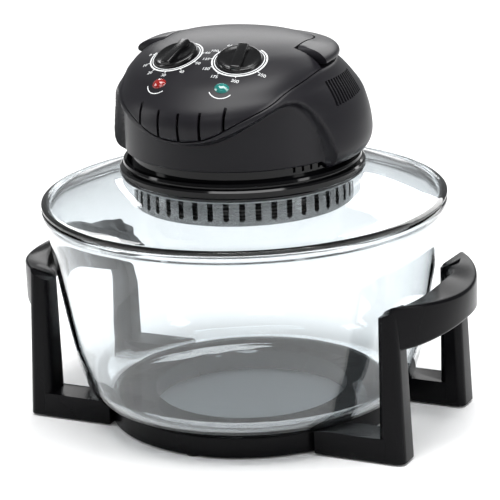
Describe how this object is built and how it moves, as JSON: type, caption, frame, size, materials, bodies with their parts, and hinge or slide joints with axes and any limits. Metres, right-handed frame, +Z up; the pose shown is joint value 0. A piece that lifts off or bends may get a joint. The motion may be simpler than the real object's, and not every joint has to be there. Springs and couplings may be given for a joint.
{
  "type": "halogen convection oven",
  "caption": "Countertop air fryer of the halogen convection kind: glass bowl in a stand with side grips, glass lid, fan and lamp head with knobs and a folding carry handle.",
  "frame": {"origin": "on the floor under the bowl's axis, at the bottom centre of the box round the whole object", "axes": "+Z up, -Y to the front with the control panel, +X to the right of a viewer who faces the control panel, along the two side grips"},
  "size_m": [0.387, 0.33, 0.322],
  "materials": {
    "stand_plastic": "satin moulded",
    "gloss_black": "gloss moulded",
    "shell_black": "fine matt moulded",
    "knob_black": "gloss moulded",
    "bowl_glass": "clear",
    "lid_glass": "clear",
    "silicone": "matt",
    "rubber": "matt",
    "brushed_steel": "brushed",
    "dark_steel": "heat-resistant dark coat",
    "steel_sheet": "zinc plated",
    "screw_steel": "zinc plated",
    "lamination_steel": "laminated",
    "aluminium": "bright rolled",
    "fibre_board": "fibrous",
    "lamp_quartz": "clear",
    "ceramic": "glazed ceramic",
    "bronze": "sintered",
    "copper_winding": "enamelled wire",
    "control_body": "moulded",
    "lens_red": "clear tinted",
    "lens_green": "clear tinted"
  },
  "bodies": {
    "stand": {"base_ring": "stand_plastic", "leg_front_left": "stand_plastic", "leg_front_right": "stand_plastic", "leg_rear_left": "stand_plastic", "leg_rear_right": "stand_plastic", "side_grip_left": "stand_plastic", "side_grip_right": "stand_plastic", "rubber_feet": "rubber", "stand_screws": "screw_steel"},
    "bowl": {"glass_bowl": "bowl_glass"},
    "head": {"glass_lid": "lid_glass", "lid_gasket": "silicone", "clamp_ring": "steel_sheet", "heat_guard": "brushed_steel", "guard_grille": "brushed_steel", "louvre_stack": "dark_steel", "reflector_plate": "aluminium", "insulation_plate": "fibre_board", "halogen_lamp": "lamp_quartz", "lamp_holders": "ceramic", "head_base": "gloss_black", "vent_collar": "gloss_black", "shaft_bushing": "bronze", "top_cover": "shell_black", "upper_housing": "shell_black", "handle_pins": "steel_sheet", "timer_body": "control_body", "thermostat_body": "control_body", "red_lens": "lens_red", "green_lens": "lens_green", "neon_lamps": "lamp_quartz", "motor_core": "lamination_steel", "motor_coil": "copper_winding", "motor_bracket": "steel_sheet", "bracket_screws": "screw_steel", "housing_screws": "screw_steel", "terminal_block": "control_body", "cord_gland": "rubber", "thermal_cutout": "control_body", "safety_switch": "control_body"},
    "handle": {"carry_handle": "shell_black"},
    "timer": {"timer_knob": "knob_black"},
    "thermostat": {"thermostat_knob": "knob_black"},
    "rotor": {"motor_shaft": "steel_sheet", "hot_air_fan": "aluminium", "cooling_fan": "aluminium", "motor_rotor": "lamination_steel"},
    "plunger": {"switch_plunger": "knob_black"}
  },
  "joints": [
    {"name": "bowl_lift", "type": "slide", "parent": "stand", "child": "bowl", "axis": [0, 0, 1], "range_m": [0, 0.15]},
    {"name": "head_lift", "type": "slide", "parent": "bowl", "child": "head", "axis": [0, 0, 1], "range_m": [0, 0.12]},
    {"name": "handle_hinge", "type": "hinge", "parent": "head", "child": "handle", "pos_m": [0, -0.008, 0.3075], "axis": [1, 0, 0], "range_deg": [0, 90]},
    {"name": "timer_turn", "type": "hinge", "parent": "head", "child": "timer", "pos_m": [-0.0273, -0.055, 0.3106], "axis": [0.1478, 0.3544, -0.9233], "range_deg": [0, 300]},
    {"name": "thermostat_turn", "type": "hinge", "parent": "head", "child": "thermostat", "pos_m": [0.0273, -0.055, 0.3106], "axis": [-0.1478, 0.3544, -0.9233], "range_deg": [0, 270]},
    {"name": "fan_spin", "type": "hinge", "parent": "head", "child": "rotor", "pos_m": [0, 0, 0.23], "axis": [0, 0, 1], "continuous": true},
    {"name": "plunger_slide", "type": "slide", "parent": "head", "child": "plunger", "axis": [0, 0, 1], "range_m": [0, 0.003]}
  ],
  "couplings": [
    {"joint": "plunger_slide", "follows": "handle_hinge", "m_per_rad": 0.0019}
  ]
}
